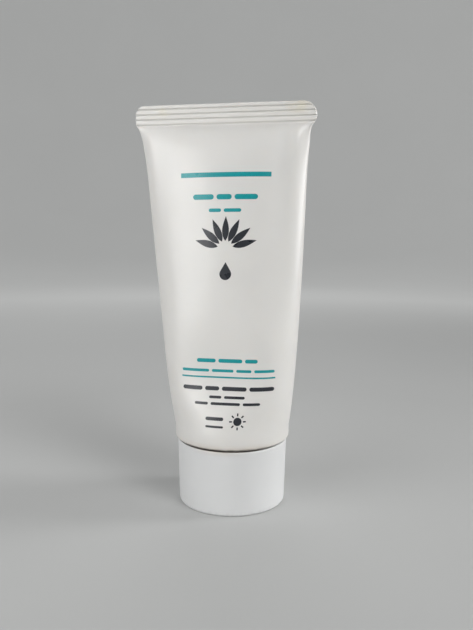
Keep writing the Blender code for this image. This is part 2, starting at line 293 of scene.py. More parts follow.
# Noise: its scale, and its detail and roughness where they aren't the usual ones
SPECKS, SPECK_PATCHES = (2300.0, 1.0), (90.0,)
BLOTS = (260.0, 3.0)
BREAKS = (420.0, 4.0, 0.6)
SLEEVE_SMEARS, CAP_SMEARS = (130.0, 5.0, 0.6), (240.0, 4.0, 0.6)
SCRATCHES, SCUFFS = (2600.0, 2.0), (900.0, 4.0, 0.6)
SLEEVE_DENTS, CAP_DENTS = (420.0, 2.0), (300.0, 2.0)
SLEEVE_GRAIN = (2600.0, 2.0)
FLOW, FLOW_SMEARS = (700.0, 4.0, 0.6), (500.0, 4.0)
FOAM_SMEARS = (900.0,)
SWIRLS = (160.0, 5.0, 0.6)
INK_COVER, INK_SMEARS = (1400.0, 5.0, 0.65), (420.0,)
PAPER_CLOUD, PAPER_GRAIN = (6.0,), (900.0, 4.0)
SLEEVE_CLOUD, CAP_CLOUD = (60.0, 4.0), (80.0, 4.0)

# Scales of the small cells
CAP_SPARKS, MOULD_SPARKS, FOAM_PITS = 4200.0, 5200.0, 3000.0

# Bumps: the strength and depth of each
SLEEVE_DENT_BUMP, SLEEVE_GRAIN_BUMP = (0.25, 0.00006), (0.08, 0.00003)
CAP_SPARK_BUMP, CAP_DENT_BUMP = (0.10, 0.00003), (0.10, 0.00004)
FLOW_BUMP, MOULD_SPARK_BUMP = (0.15, 0.00004), (0.08, 0.00003)
FOAM_BUMP, SWIRL_BUMP = (0.5, 0.00008), (0.2, 0.0001)
INK_BUMP, PAPER_BUMP = (0.10, 0.00002), (0.1, 0.0001)

# Scale of the coordinates for grain that is drawn out along the height
ALONG_SCRATCHES = (1.0, 1.0, 0.10)
ALONG_SCUFFS = (1.0, 1.0, 0.3)
ALONG_FLOW = (1.0, 1.0, 0.2)
ALONG_SWIRLS = (1.0, 1.0, 0.4)

# Dirt, wear and painted shade: places, and the heights or distances over which each fades.
# A smudge is its place, its fading and how strongly it covers.
RESIDUE_AND_SHADE_SPOT = (0.0005, -TUBE_RADIUS, SLEEVE_END)
RESIDUE_AND_SHADE_FADES = (0.010, 0.018)
# Lowest band of the seam: painted shade of the gap to the cap, in the brown of dried serum
SEAM_SHADE_AND_RESIDUE = (SLEEVE_END + 0.0002, SLEEVE_END + 0.0007)
SEAM_PALE = (SLEEVE_END + 0.0008, SLEEVE_END + 0.0022)
# Painted shade across each of the weld's pressed lines
GROOVE_SHADE_FADES = (0.00008, 0.00030)
SMUDGES = (((0.0190, 0.0, 0.1196), (0.001, 0.0045), 0.45),
           ((-0.0215, 0.0, 0.1184), (0.0004, 0.0028), 0.35))
STAIN_SPOT = (-0.0010, -CAP_RIM_RADIUS, CAP_HEIGHT)
STAIN_FADES = (0.002, 0.010)
STAIN_BAND = (CAP_HEIGHT - 0.0016, CAP_HEIGHT)
# Top edge of the cap's rim: painted shade of the gap to the sleeve, in the brown of dried serum
RIM_EDGE = (CAP_HEIGHT - 0.00012, CAP_HEIGHT)
WORN_FOOT = (0.0003, 0.0016)

# Stage: a floor that sweeps up into a wall, and its glow near the tube and far off
FLOOR_COLOUR = (0.42, 0.425, 0.42)
FLOOR_GLOW = 0.26
WALL_GLOW = 0.80
GLOW_FADES = (0.15, 0.70)
FLOOR_RADIUS = 0.9
FLOOR_RING_SHARES = (0.2, 0.5, 1.0)
SWEEP_RADIUS = 0.5
SWEEP_STEPS = 16
STAGE_HEIGHT = 2.2
STAGE_SEGMENTS = 64

# Lamps: place, size, power in watts, height aimed at and spread in degrees
LAMPS = {
    "left": ((-0.30, -0.31, 0.194), (0.40, 0.29), 0.73, 0.148, 122),
    "right": ((0.326, -0.245, 0.260), (0.39, 0.49), 0.28, 0.0, 40),
    "right_edge": ((0.526, 0.160, 0.220), (0.16, 0.37), 0.60, 0.040, 102),
    "back": ((-0.15, 0.75, 0.55), (0.5, 0.5), 1.2, 0.07, 180),
}
WORLD_COLOUR = (0.95, 0.97, 1.0, 1.0)
WORLD_STRENGTH = 0.09


def smoothstep(low, high, value):
    """Zero up to low, one from high on, and a smooth rise between."""
    share = min(max((value - low) / (high - low), 0.0), 1.0)
    return share * share * (3 - 2 * share)


def bump(value, centre, spread):
    """Bell curve that is one at its centre."""
    return math.exp(-((value - centre) / spread) ** 2)


def width_for_depth(depth):
    """Half width of an oval that keeps the round end's girth, up to that of the weld.

    The girth comes from Ramanujan's formula."""
    low, high = depth, 2 * TUBE_RADIUS
    for _ in range(WIDTH_HALVINGS):
        width = (low + high) / 2
        spread = ((width - depth) / (width + depth)) ** 2
        girth = math.pi * (width + depth) * (1 + 3 * spread / (10 + math.sqrt(4 - 3 * spread)))
        if girth < 2 * math.pi * TUBE_RADIUS:
            low = width
        else:
            high = width
    return min(width, SEAL_HALF_WIDTH)


def share_at(height):
    """Where a height above the sleeve's end lies between its skirt and its seal."""
    return min(max((height - SKIRT_HEIGHT) / (SEAL_START - SKIRT_HEIGHT), 0.0), 1.0)


def pressed(share):
    """How far the faces are pressed flat: one at its height, less below and above."""
    away = share / PRESS_AT_SHARE
    return (away * math.exp(1 - away)) ** PRESS_NARROWNESS


def section_at(height):
    """Share, half depth and half width of the filled body."""
    share = share_at(height)
    seal = SEAL_THICKNESS / 2
    filled = TUBE_RADIUS * (1 - TAPER_SHARE * share ** TAPER_POWER)
    depth = seal + (filled - seal) * math.sqrt(1 - share ** CLOSE_POWER)
    flattened = depth * (1 - PRESS_LOSS_SHARE * pressed(share))
    return share, flattened, width_for_depth(depth)


def rise_at(across, share):
    """Rise of a face, from none at its side to one at its middle, for a share of its width."""
    power = 2 + PRESS_SQUARENESS * pressed(share)
    return math.sqrt(max(1 - abs(across) ** power, 0.0))


def lean_at(share):
    """How far the sleeve's middle stands aside."""
    return SEAL_SHIFT * share ** LEAN_POWER


def relief(across, height, side, share, width):
    """How far a point of the sleeve stands out from its smooth form."""
    fade = smoothstep(*RELIEF_COMES, share) * (1 - smoothstep(*RELIEF_GOES, share))
    rise = 0.0
    if side < 0:
        dent = DIMPLE_DEPTH * bump(across, DIMPLE_AT[0], DIMPLE_SIZE[0])
        rise -= dent * bump(height, DIMPLE_AT[1], DIMPLE_SIZE[1])
    fold = bump(abs(across), width - FOLD_INSET, FOLD_SPREAD)
    fold -= VALLEY_SHARE * bump(abs(across), width - VALLEY_INSET, VALLEY_SPREAD)
    fold_rise = FOLD_RISE_RIGHT if across > 0 else FOLD_RISE_LEFT
    rise += fold_rise * fold * smoothstep(FOLD_FROM, SEAL_START, height)
    place = Vector((across * WAVE_SCALE, side * WAVE_FACES_APART, height * WAVE_SCALE))
    rise += WAVE_RISE * noise.noise(place)
    return rise * fade


def face_out(aside, share, width, depth, height, side, shaped):
    """How far a face stands out, at a share of its half width aside from its middle."""
    seal = min(SEAL_THICKNESS / 2, depth) * share ** CLOSE_POWER
    rise = rise_at(aside, share)
    edge = min(1.0, rise / SEAL_EDGE_SINE)
    out = (depth - seal) * rise ** (1 + CREASE_SHARE * share) + seal * edge
    if shaped:
        out += relief(aside * width, height, side, share, width) * edge
    return out


def ring(share, widths, depth, height, shaped):
    """One ring of the sleeve, with its right and left half widths, where it leans to."""
    points = []
    for i in range(SLEEVE_SEGMENTS):
        angle = 2 * math.pi * i / SLEEVE_SEGMENTS
        aside = math.cos(angle)
        side = 1 if math.sin(angle) > 0 else -1
        width = widths[0] if aside > 0 else widths[1]
        out = face_out(aside, share, width, depth, height, side, shaped)
        points.append((lean_at(share) + width * aside, side * out, SLEEVE_END + height))
    return points


def mesh_from(shape, name):
    bmesh.ops.recalc_face_normals(shape, faces=shape.faces)
    mesh = bpy.data.meshes.new(name)
    shape.to_mesh(mesh)
    shape.free()
    return mesh


def loft(name, rings):
    """Closed mesh through rings of equally many points."""
    shape = bmesh.new()
    rows = [[shape.verts.new(point) for point in points] for points in rings]
    count = len(rings[0])
    for lower, upper in zip(rows, rows[1:]):
        for i in range(count):
            j = (i + 1) % count
            shape.faces.new((lower[i], lower[j], upper[j], upper[i]))
    shape.faces.new(rows[0][::-1])
    shape.faces.new(rows[-1])
    return mesh_from(shape, name)


def add_piece(name, mesh, material, sharp=SHARP_ANGLE):
    mesh.materials.append(material)
    mesh.shade_smooth()
    mesh.set_sharp_from_angle(angle=math.radians(sharp))
    piece = bpy.data.objects.new(name, mesh)
    bpy.context.scene.collection.objects.link(piece)
    return piece


def stand_for(piece, node_name, body):
    """Hides a node and puts the piece that stands in its place on its body."""
    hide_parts(node_name)
    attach(piece, body)


def end_rings(inset):
    """Rounded end of the sleeve, turned in round the shoulder."""
    rings = []
    for i in range(ROUND_ROWS + 1):
        angle = math.radians(-90 + 90 * i / ROUND_ROWS)
        radius = TUBE_RADIUS - END_ROUND + (END_ROUND - inset) * math.cos(angle)
        height = END_ROUND + (END_ROUND - inset) * math.sin(angle)
        rings.append(ring(0.0, (radius, radius), radius, height, False))
    return rings


def body_ring(share, inset, shaped):
    """One ring of the filled body, drawn in at its sides just below the weld."""
    height = SKIRT_HEIGHT + (SEAL_START - SKIRT_HEIGHT) * share
    place, depth, width = section_at(height)
    drawn_in = smoothstep(TUCK_FROM_SHARE, 1.0, place)
    widths = (width - inset - RIGHT_TUCK * drawn_in, width - inset - LEFT_TUCK * drawn_in)
    return ring(place, widths, depth - inset, height, shaped)


def seal_half_width(height, tuck, corner):
    """Half width of the weld: drawn in at its lower corner, rounded at its top one."""
    low = 1 - min((height - SEAL_START) / TUCK_HEIGHT, 1.0)
    full = SEAL_HALF_WIDTH - tuck * low * low
    above = max(height - (SLEEVE_LENGTH - corner), 0.0)
    return full - corner + math.sqrt(max(corner ** 2 - above ** 2, 0.0))


def groove_depth(height):
    """Depth of the weld's pressed lines at a height above the sleeve's end."""
    below = SLEEVE_LENGTH - height
    deep = 0.0
    for i in range(GROOVE_COUNT):
        away = abs(below - GROOVE_FIRST - i * GROOVE_PITCH) / GROOVE_HALF_WIDTH
        if away < 1:
            deep = max(deep, GROOVE_DEPTH * (0.5 + 0.5 * math.cos(math.pi * away)))
    return deep


def crowded(i, rows, crowding):
    """Share of the way at row i, with the rows closer together towards the end."""
    return 1 - (1 - i / rows) ** crowding


def seal_rings():
    """Rings of the weld up to its cut edge."""
    rings = []
    for i in range(SEAL_ROWS + 1):
        height = SEAL_START + SEAL_HEIGHT * crowded(i, SEAL_ROWS, SEAL_ROW_CROWDING)
        depth = SEAL_THICKNESS / 2 - groove_depth(height)
        over = max(height - (SLEEVE_LENGTH - SEAL_TOP_ROUND), 0.0)
        depth += math.sqrt(max(SEAL_TOP_ROUND ** 2 - over ** 2, 0.0)) - SEAL_TOP_ROUND
        widths = (seal_half_width(height, RIGHT_TUCK, RIGHT_CORNER),
                  seal_half_width(height, LEFT_TUCK, LEFT_CORNER))
        rings.append(ring(1.0, widths, depth, height, False))
    return rings


def make_sleeve(material):
    """Full sleeve with its wall, finer than the solid that it stands for."""
    inner = [body_ring(crowded(i, INNER_ROWS, ROW_CROWDING), SLEEVE_WALL, False)
             for i in range(INNER_ROWS - 1)]
    outer = [body_ring(crowded(i, BODY_ROWS, ROW_CROWDING), 0.0, True) for i in range(BODY_ROWS)]
    rings = inner[::-1] + end_rings(SLEEVE_WALL)[::-1]
    rings += end_rings(0.0) + outer + seal_rings()
    sleeve = add_piece("soft_sleeve", loft("soft_sleeve", rings), material, SLEEVE_SHARP_ANGLE)
    stand_for(sleeve, "tube_sleeve", "tube")


def turned(name, outline, segments, closed=False):
    """Round mesh from an outline (r, z), open on the axis or closed on itself."""
    shape = bmesh.new()
    rows = []
    for radius, height in outline:
        if radius == 0.0:
            rows.append([shape.verts.new((0.0, 0.0, height))])
            continue
        angles = [2 * math.pi * i / segments for i in range(segments)]
        rows.append([shape.verts.new((radius * math.cos(a), radius * math.sin(a), height))
                     for a in angles])
    pairs = list(zip(rows, rows[1:]))
    if closed:
        pairs.append((rows[-1], rows[0]))
    for first, second in pairs:
        for i in range(segments):
            j = (i + 1) % segments
            corners = [first[i % len(first)], first[j % len(first)],
                       second[j % len(second)], second[i % len(second)]]
            shape.faces.new(list(dict.fromkeys(corners)))
    return mesh_from(shape, name)


def arc(centre, radius, start, end, steps):
    """Points on a circle from one angle in degrees to another."""
    angles = [math.radians(start + (end - start) * i / steps) for i in range(steps + 1)]
    return [(centre[0] + radius * math.cos(a), centre[1] + radius * math.sin(a)) for a in angles]


def eased(corners, radius, steps=EASE_STEPS):
    """Closed outline through the corners, each one cut by a small curve."""
    points = []
    count = len(corners)
    for i, corner in enumerate(corners):
        here = Vector(corner)
        before = Vector(corners[i - 1]) - here
        after = Vector(corners[(i + 1) % count]) - here
        cut = min(radius, before.length * EASE_LIMIT_SHARE, after.length * EASE_LIMIT_SHARE)
        start, end = here + before.normalized() * cut, here + after.normalized() * cut
        for k in range(steps + 1):
            t = k / steps
            point = start * (1 - t) ** 2 + here * 2 * t * (1 - t) + end * t ** 2
            points.append((point.x, point.y))
    return points


def cap_radius(height):
    return CAP_END_RADIUS + CAP_DRAFT * height / CAP_HEIGHT


def make_cap(material):
    """Drafted cup with a rounded rim and foot edge."""
    rim_centre = (CAP_RIM_RADIUS - CAP_RIM_ROUND, CAP_HEIGHT - CAP_RIM_ROUND)
    edge_centre = (cap_radius(CAP_EDGE_ROUND) - CAP_EDGE_ROUND, CAP_EDGE_ROUND)
    inside = cap_radius(CAP_DECK) - CAP_WALL
    outline = [(0.0, CAP_DECK), (inside, CAP_DECK), (CAP_RIM_RADIUS - CAP_WALL, CAP_HEIGHT)]
    outline += arc(rim_centre, CAP_RIM_ROUND, 90, 0, CAP_RIM_STEPS)
    top = CAP_HEIGHT - CAP_RIM_ROUND
    for i in range(1, CAP_WALL_ROWS):
        height = top + (CAP_EDGE_ROUND - top) * i / CAP_WALL_ROWS
        outline.append((cap_radius(height), height))
    outline += arc(edge_centre, CAP_EDGE_ROUND, 0, -90, CAP_EDGE_STEPS)
    outline += [(edge_centre[0] * (1 - i / CAP_DECK_ROWS), 0.0) for i in range(1, CAP_DECK_ROWS)]
    outline += [(GATE_RADIUS, 0.0), (GATE_RADIUS, GATE_DEPTH), (0.0, GATE_DEPTH)]
    cap = add_piece("cap_cup", turned("cap_cup", outline, CAP_SEGMENTS), material)
    stand_for(cap, "cap_shell", "cap")


def thread_ridge(wall, crest, start, first_turn):
    """Helical ridge with a softly rounded crest, from inside its wall."""
    outward = 1 if crest > wall else -1
    foot_half = THREAD_ROOT / 2 + THREAD_SLOPE * THREAD_BITE
    foot = wall - outward * THREAD_BITE
    count = round(THREAD_TURNS * THREAD_STEPS)
    rings = []
    for i in range(count + 1):
        run = THREAD_TURNS * i / count
        turn = first_turn + run
        rise = smoothstep(0.0, THREAD_FADE_TURN, min(run, THREAD_TURNS - run))
        lift = THREAD_END_SHARE + (1 - THREAD_END_SHARE) * rise
        top = wall + (crest - wall) * lift
        top_half = THREAD_ROOT / 2 - THREAD_SLOPE * THREAD_DEPTH * lift
        corners = [(foot, -foot_half), (top, -top_half), (top, top_half), (foot, foot_half)]
        angle = 2 * math.pi * turn
        height = start + THREAD_PITCH * turn
        rings.append([(r * math.cos(angle), r * math.sin(angle), height + z)
                      for r, z in eased(corners, SMALL_ROUND, THREAD_EASE_STEPS)])
    return loft("ridge", rings)


def union(name, mesh, ridge):
    """One closed mesh from a turned body and its thread."""
    scene = bpy.context.scene
    body = bpy.data.objects.new(name, mesh)
    tool = bpy.data.objects.new("ridge", ridge)
    scene.collection.objects.link(body)
    scene.collection.objects.link(tool)
    step = body.modifiers.new("thread", "BOOLEAN")
    step.operation = "UNION"
    step.solver = "EXACT"
    step.object = tool
    graph = bpy.context.evaluated_depsgraph_get()
    joined = bpy.data.meshes.new_from_object(body.evaluated_get(graph))
    bpy.data.objects.remove(body, do_unlink=True)
    bpy.data.objects.remove(tool, do_unlink=True)
    joined.materials.clear()
    return joined


def make_shoulder(material):
    """Moulded head with its threaded neck."""
    lip = TUBE_RADIUS - END_ROUND - FIT_GAP
    skirt = TUBE_RADIUS - SLEEVE_WALL - FIT_GAP
    inside = skirt - SKIRT_WALL
    foot = SLEEVE_END
    corners = [
        (inside, foot + SKIRT_HEIGHT),
        (skirt, foot + SKIRT_HEIGHT),
        (skirt, foot + END_ROUND),
        (lip, foot + SLEEVE_WALL + FIT_GAP),
        (lip, foot),
        (lip - SHOULDER_SEAT, foot),
        (NECK_RADIUS, foot - SHOULDER_DROP),
        (NECK_RADIUS, NECK_TIP + NECK_TIP_CHAMFER),
        (NECK_RADIUS - NECK_TIP_CHAMFER, NECK_TIP),
        (NECK_BORE, NECK_TIP),
        (NECK_BORE, foot + SHOULDER_THICKNESS - SHOULDER_DROP),
        (inside, foot + SHOULDER_THICKNESS),
    ]
    body = turned("threaded_shoulder", eased(corners, SMALL_ROUND), INNER_SEGMENTS, True)
    ridge = thread_ridge(NECK_RADIUS, NECK_RADIUS + THREAD_DEPTH, NECK_THREAD_START, 0.0)
    piece = add_piece("threaded_shoulder", union("threaded_shoulder", body, ridge), material)
    stand_for(piece, "tube_shoulder", "tube")


def make_plug(material):
    """Cup in the neck's bore with the outlet hole in its floor."""
    plug = NECK_BORE - FIT_GAP
    seat = NECK_TIP - FIT_GAP
    face = INSERT_LOW.z
    floor = face + NOZZLE_FLOOR
    corners = [
        (plug - NOZZLE_WALL, INSERT_HIGH.z),
        (plug, INSERT_HIGH.z),
        (plug, seat),
        (INSERT_HIGH.x, seat),
        (INSERT_HIGH.x, face),
        (NOZZLE_ORIFICE, face),
        (NOZZLE_ORIFICE, floor),
        (plug - NOZZLE_WALL, floor),
    ]
    piece = add_piece("outlet_plug", turned("outlet_plug", eased(corners, SMALL_ROUND),
                                            INNER_SEGMENTS, True), material)
    stand_for(piece, "nozzle_insert", "tube")


def make_liner(material):
    """Flanged skirt inside the cap, with the thread that holds the neck's."""
    floor_top = WAD_LOW.z - FIT_GAP
    outside = LINER_BORE + LINER_WALL
    flange_top = LINER_HIGH.z
    flange_under = flange_top - FLANGE_THICKNESS
    reach = LINER_HIGH.x
    outline = [
        (0.0, floor_top), (LINER_BORE, floor_top), (LINER_BORE, flange_top - SMALL_ROUND),
        (LINER_BORE + SMALL_ROUND, flange_top), (reach - SMALL_ROUND, flange_top),
        (reach, flange_top - SMALL_ROUND), (reach, flange_under), (outside, flange_under),
        (outside, LINER_LOW.z), (LINER_BORE, LINER_LOW.z), (LINER_BORE, floor_top - LINER_FLOOR),
        (0.0, floor_top - LINER_FLOOR),
    ]
    above = (THREAD_ROOT + THREAD_CREST) / 2 - THREAD_SLOPE * THREAD_PLAY + FIT_GAP
    body = turned("threaded_liner", outline, INNER_SEGMENTS)
    ridge = thread_ridge(LINER_BORE, LINER_BORE - THREAD_DEPTH,
                         NECK_THREAD_START + above, LINER_FIRST_TURN)
    piece = add_piece("threaded_liner", union("threaded_liner", body, ridge), material)
    stand_for(piece, "cap_liner", "cap")


def make_disc(material):
    """Foam disc with softly rounded edges."""
    radius, low, high = WAD_HIGH.x, WAD_LOW.z, WAD_HIGH.z
    reach = radius - SMALL_ROUND
    outline = [(0.0, high), (reach, high)]
    outline += arc((reach, high - SMALL_ROUND), SMALL_ROUND, 90, 0, DISC_ROUND_STEPS)[1:]
    outline += arc((reach, low + SMALL_ROUND), SMALL_ROUND, 0, -90, DISC_ROUND_STEPS)
    outline.append((0.0, low))
    piece = add_piece("foam_disc", turned("foam_disc", outline, INNER_SEGMENTS), material)
    stand_for(piece, "sealing_wad", "wad")


def label_centre(height):
    """The label's centre line, which leans as the sleeve does."""
    return lean_at(share_at(height - SLEEVE_END)) + LABEL_SHIFT


def front_point(across, height, offset):
    """Point on the sleeve's printed front, offset outwards. The print is a little askew."""
    height += LABEL_TILT * (across - LABEL_SHIFT)
    share, depth, width = section_at(height)
    aside = (across - lean_at(share)) / width
    out = face_out(aside, share, width, depth, height, -1, True)
    return (across, -out - offset, SLEEVE_END + height)


def stamp(shape, outline, centre, rings=PATCH_RINGS):
    """Adds a thin ink patch to shape, from an outline that its centre sees all of."""
    layers = []
    for offset in (INK_OUT, -INK_IN):
        hub = shape.verts.new(front_point(centre[0], centre[1] - SLEEVE_END, offset))
        rows = []
        for k in range(1, rings + 1):
            row = []
            for x, z in outline:
                across = centre[0] + (x - centre[0]) * k / rings
                height = centre[1] + (z - centre[1]) * k / rings - SLEEVE_END
                row.append(shape.verts.new(front_point(across, height, offset)))
            rows.append(row)
        layers.append((hub, rows))
    count = len(outline)
    for hub, rows in layers:
        for i in range(count):
            j = (i + 1) % count
            shape.faces.new((hub, rows[0][i], rows[0][j]))
            for near, far in zip(rows, rows[1:]):
                shape.faces.new((near[i], far[i], far[j], near[j]))
    front, back = layers[0][1][-1], layers[1][1][-1]
    for i in range(count):
        j = (i + 1) % count
        shape.faces.new((front[i], back[i], back[j], front[j]))


def finish_ink(name, shape, material):
    print_piece = add_piece(name, mesh_from(shape, name), material, INK_SHARP_ANGLE)
    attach(print_piece, "tube")


def bar_outline(centre, wide, tall, corner):
    """Rounded bar round a centre (x, z), with points all along its sides."""
    right, left = centre[0] + wide / 2, centre[0] - wide / 2
    high, low = centre[1] + tall / 2, centre[1] - tall / 2
    points = []
    corners = ((right - corner, high - corner, 0), (left + corner, high - corner, 90),
               (left + corner, low + corner, 180), (right - corner, low + corner, 270))
    for x, z, start in corners:
        points += arc((x, z), corner, start, start + 90, BAR_CORNER_STEPS)
    fine = []
    for a, b in zip(points, points[1:] + points[:1]):
        steps = max(1, int(math.dist(a, b) / INK_STEP))
        fine += [(a[0] + (b[0] - a[0]) * k / steps, a[1] + (b[1] - a[1]) * k / steps)
                 for k in range(steps)]
    return fine


def stamp_bar(shape, height, wide, tall, corner, shift=0.0):
    """Bar of ink whose middle is aside from the label's centre line by shift."""
    centre = (label_centre(height) + shift, height)
    rings = math.ceil(wide / 2 / INK_STEP)
    stamp(shape, bar_outline(centre, wide, tall, corner), centre, rings)


def stamp_words(shape, rows):
    """Rows of round-ended bars that stand where the real label has words."""
    for height, tall, words in rows:
        left = -(sum(words) + WORD_GAP * (len(words) - 1)) / 2
        for wide in words:
            stamp_bar(shape, height, wide, tall, tall * WORD_ROUND_SHARE, left + wide / 2)
            left += wide + WORD_GAP


def placed(outline, centre, turn):
    """Outline turned about its own zero and moved to a centre."""
    cosine, sine = math.cos(turn), math.sin(turn)
    return [(centre[0] + x * cosine - z * sine, centre[1] + x * sine + z * cosine)
            for x, z in outline]


def leaf_outline():
    """Slender leaf along +X from the fan's foot, round its own middle."""
    middle = (FAN_INNER + FAN_REACH) / 2
    half = (FAN_REACH - FAN_INNER) / 2
    top = []
    for i in range(LEAF_STEPS + 1):
        place = i / LEAF_STEPS
        width = LEAF_HALF_WIDTH * math.sin(math.pi * place ** LEAF_SKEW)
        top.append((middle + half * (2 * place - 1), width))
    return top + [(x, -z) for x, z in top[-2:0:-1]]


def stamp_fan(shape):
    """Fan of plain leaves."""
    foot = (label_centre(FAN_FOOT), FAN_FOOT)
    middle = (FAN_INNER + FAN_REACH) / 2
    leaf = leaf_outline()
    for i in range(FAN_LEAVES):
        turn = math.radians(90 - FAN_SPREAD / 2 + FAN_SPREAD * i / (FAN_LEAVES - 1))
        centre = placed([(middle, 0.0)], foot, turn)[0]
        stamp(shape, placed(leaf, foot, turn)[::-1], centre)


def between(start, end, steps):
    """Points on the way from start to end, without start itself."""
    return [(start[0] + (end[0] - start[0]) * k / steps, start[1] + (end[1] - start[1]) * k / steps)
            for k in range(1, steps + 1)]


def stamp_drop(shape):
    """Plain drop, round below and drawn to a tip."""
    centre = (label_centre(DROP_AT), DROP_AT)
    open_angle = math.degrees(math.asin(DROP_RADIUS / DROP_TIP))
    outline = arc(centre, DROP_RADIUS, 180 - open_angle, 360 + open_angle, DROP_STEPS)
    tip = (centre[0], centre[1] + DROP_TIP)
    up = between(outline[-1], tip, DROP_SIDE_STEPS)
    down = between(tip, outline[0], DROP_SIDE_STEPS)[:-1]
    stamp(shape, outline + up + down, centre)


def stamp_sun(shape):
    """Plain sun: a disc with short rays."""
    centre = (label_centre(SUN_AT) + SUN_SHIFT, SUN_AT)
    last = 360 - 360 / SUN_STEPS
    stamp(shape, arc(centre, SUN_RADIUS, 0, last, SUN_STEPS - 1), centre)
    long = RAY_END - RAY_START
    ray = bar_outline((0.0, 0.0), long, RAY_WIDTH, RAY_WIDTH * RAY_ROUND_SHARE)
    for i in range(SUN_RAYS):
        turn = 2 * math.pi * i / SUN_RAYS
        middle = placed([(RAY_START + long / 2, 0.0)], centre, turn)[0]
        stamp(shape, placed(ray, middle, turn), middle, RAY_RINGS)


def make_label(teal, dark):
    """The print: one piece in teal ink and one in dark ink."""
    shape = bmesh.new()
    for height, wide, tall in (TOP_BAR, THIN_RULE):
        stamp_bar(shape, height, wide, tall, BAR_CORNER)
    stamp_words(shape, TEAL_WORDS)
    finish_ink("teal_print", shape, teal)
    shape = bmesh.new()
    stamp_words(shape, DARK_WORDS)
    for height, tall, wide in SIDE_WORDS:
        stamp_bar(shape, height, wide, tall, tall * WORD_ROUND_SHARE, SIDE_WORDS_SHIFT)
    stamp_fan(shape)
    stamp_drop(shape)
    stamp_sun(shape)
    finish_ink("dark_print", shape, dark)


def node(tree, kind, **settings):
    made = tree.nodes.new(kind)
    for name, value in settings.items():
        setattr(made, name, value)
    return made


def new_material(name):
    material = bpy.data.materials.new(name)
    material.use_nodes = True
    tree = material.node_tree
    return material, tree, tree.nodes["Principled BSDF"]


def set_inputs(shader, **values):
    for name, value in values.items():
        shader.inputs[name.replace("_", " ")].default_value = value


def noise_node(tree, place, scale, detail=3.0, rough=0.5):
    made = node(tree, "ShaderNodeTexNoise")
    made.inputs["Scale"].default_value = scale
    made.inputs["Detail"].default_value = detail
    made.inputs["Roughness"].default_value = rough
    tree.links.new(place, made.inputs["Vector"])
    return made.outputs["Fac"]


def stretched(tree, place, scale):
    """Coordinates scaled by unlike amounts, for grain that runs one way."""
    made = node(tree, "ShaderNodeMapping")
    made.inputs["Scale"].default_value = scale
    tree.links.new(place, made.inputs["Vector"])
    return made.outputs["Vector"]


def cells(tree, place, scale):
    made = node(tree, "ShaderNodeTexVoronoi", feature="SMOOTH_F1")
    made.inputs["Scale"].default_value = scale
    tree.links.new(place, made.inputs["Vector"])
    return made.outputs["Distance"]


def ramp(tree, value, span, colours):
    """One colour up to the span's start, another from its end on, and a blend between."""
    made = node(tree, "ShaderNodeValToRGB")
    for element, place, colour in zip(made.color_ramp.elements, span, colours):
        element.position = place
        element.color = (*colour, 1.0)
    tree.links.new(value, made.inputs["Fac"])
    return made.outputs["Color"]


def map_range(tree, value, given, wanted):
    """Value moved from one span to another, and held at its ends."""
    made = node(tree, "ShaderNodeMapRange")
    names = ("From Min", "From Max", "To Min", "To Max")
    for name, number in zip(names, (*given, *wanted)):
        made.inputs[name].default_value = number
    tree.links.new(value, made.inputs["Value"])
    return made.outputs["Result"]


def mix(tree, share, first, second):
    """Mixes two colours, each a socket or a plain colour."""
    made = node(tree, "ShaderNodeMix", data_type="RGBA")
    tree.links.new(share, made.inputs["Factor"])
    for index, value in ((6, first), (7, second)):
        if isinstance(value, tuple):
            made.inputs[index].default_value = (*value, 1.0)
        else:
            tree.links.new(value, made.inputs[index])
    return made.outputs[2]


def maths(tree, operation, first, second):
    made = node(tree, "ShaderNodeMath", operation=operation)
    for index, value in enumerate((first, second)):
        if isinstance(value, (int, float)):
            made.inputs[index].default_value = value
        else:
            tree.links.new(value, made.inputs[index])
    return made.outputs[0]


def times(tree, *values):
    product = values[0]
    for value in values[1:]:
        product = maths(tree, "MULTIPLY", product, value)
    return product


def near_point(tree, place, point, fades):
    """One near a point, falling to nothing over the distances that it fades in."""
    made = node(tree, "ShaderNodeVectorMath", operation="DISTANCE")
    tree.links.new(place, made.inputs[0])
    made.inputs[1].default_value = point
    return map_range(tree, made.outputs["Value"], fades, FALLING)


def height_of(tree, place):
    made = node(tree, "ShaderNodeSeparateXYZ")
    tree.links.new(place, made.inputs[0])
    return made.outputs["Z"]


def add_bump(tree, shader, heights):
    """Bumps in a chain, each a height socket, a strength and a distance."""
    normal = None
    for height, strength, distance in heights:
        made = node(tree, "ShaderNodeBump")
        made.inputs["Strength"].default_value = strength
        made.inputs["Distance"].default_value = distance
        tree.links.new(height, made.inputs["Height"])
        if normal:
            tree.links.new(normal, made.inputs["Normal"])
        normal = made.outputs["Normal"]
    tree.links.new(normal, shader.inputs["Normal"])


def object_place(tree):
    return node(tree, "ShaderNodeTexCoord").outputs["Object"]


def shaded(colour, share):
    return tuple(channel * share for channel in colour)


def cloudy(tree, place, colour, cloud, darkest):
    """Colour that drifts slowly to a slightly darker one."""
    drift = noise_node(tree, place, *cloud)
    return ramp(tree, drift, CLOUD_SPAN, (shaded(colour, darkest), colour))


def specks(tree, place):
    """Sparse small marks, gathered in patches."""
    fine = map_range(tree, noise_node(tree, place, *SPECKS), SPECK_SPAN, WHOLE)
    patch = noise_node(tree, place, *SPECK_PATCHES)
    return times(tree, fine, map_range(tree, patch, SPECK_PATCH_SPAN, WHOLE))


def seam_dirt_and_shade(tree, place, fades):
    """Dried serum and painted shade in the seam: a little all round, and thickest at the middle of
    the front.
    """
    band = map_range(tree, height_of(tree, place), fades, FALLING)
    patch = near_point(tree, place, RESIDUE_AND_SHADE_SPOT, RESIDUE_AND_SHADE_FADES)
    amount = map_range(tree, patch, WHOLE, SEAM_COVER)
    broken = map_range(tree, noise_node(tree, place, *BREAKS), BREAK_SPAN, BREAK_COVER)
    return times(tree, band, amount, broken)


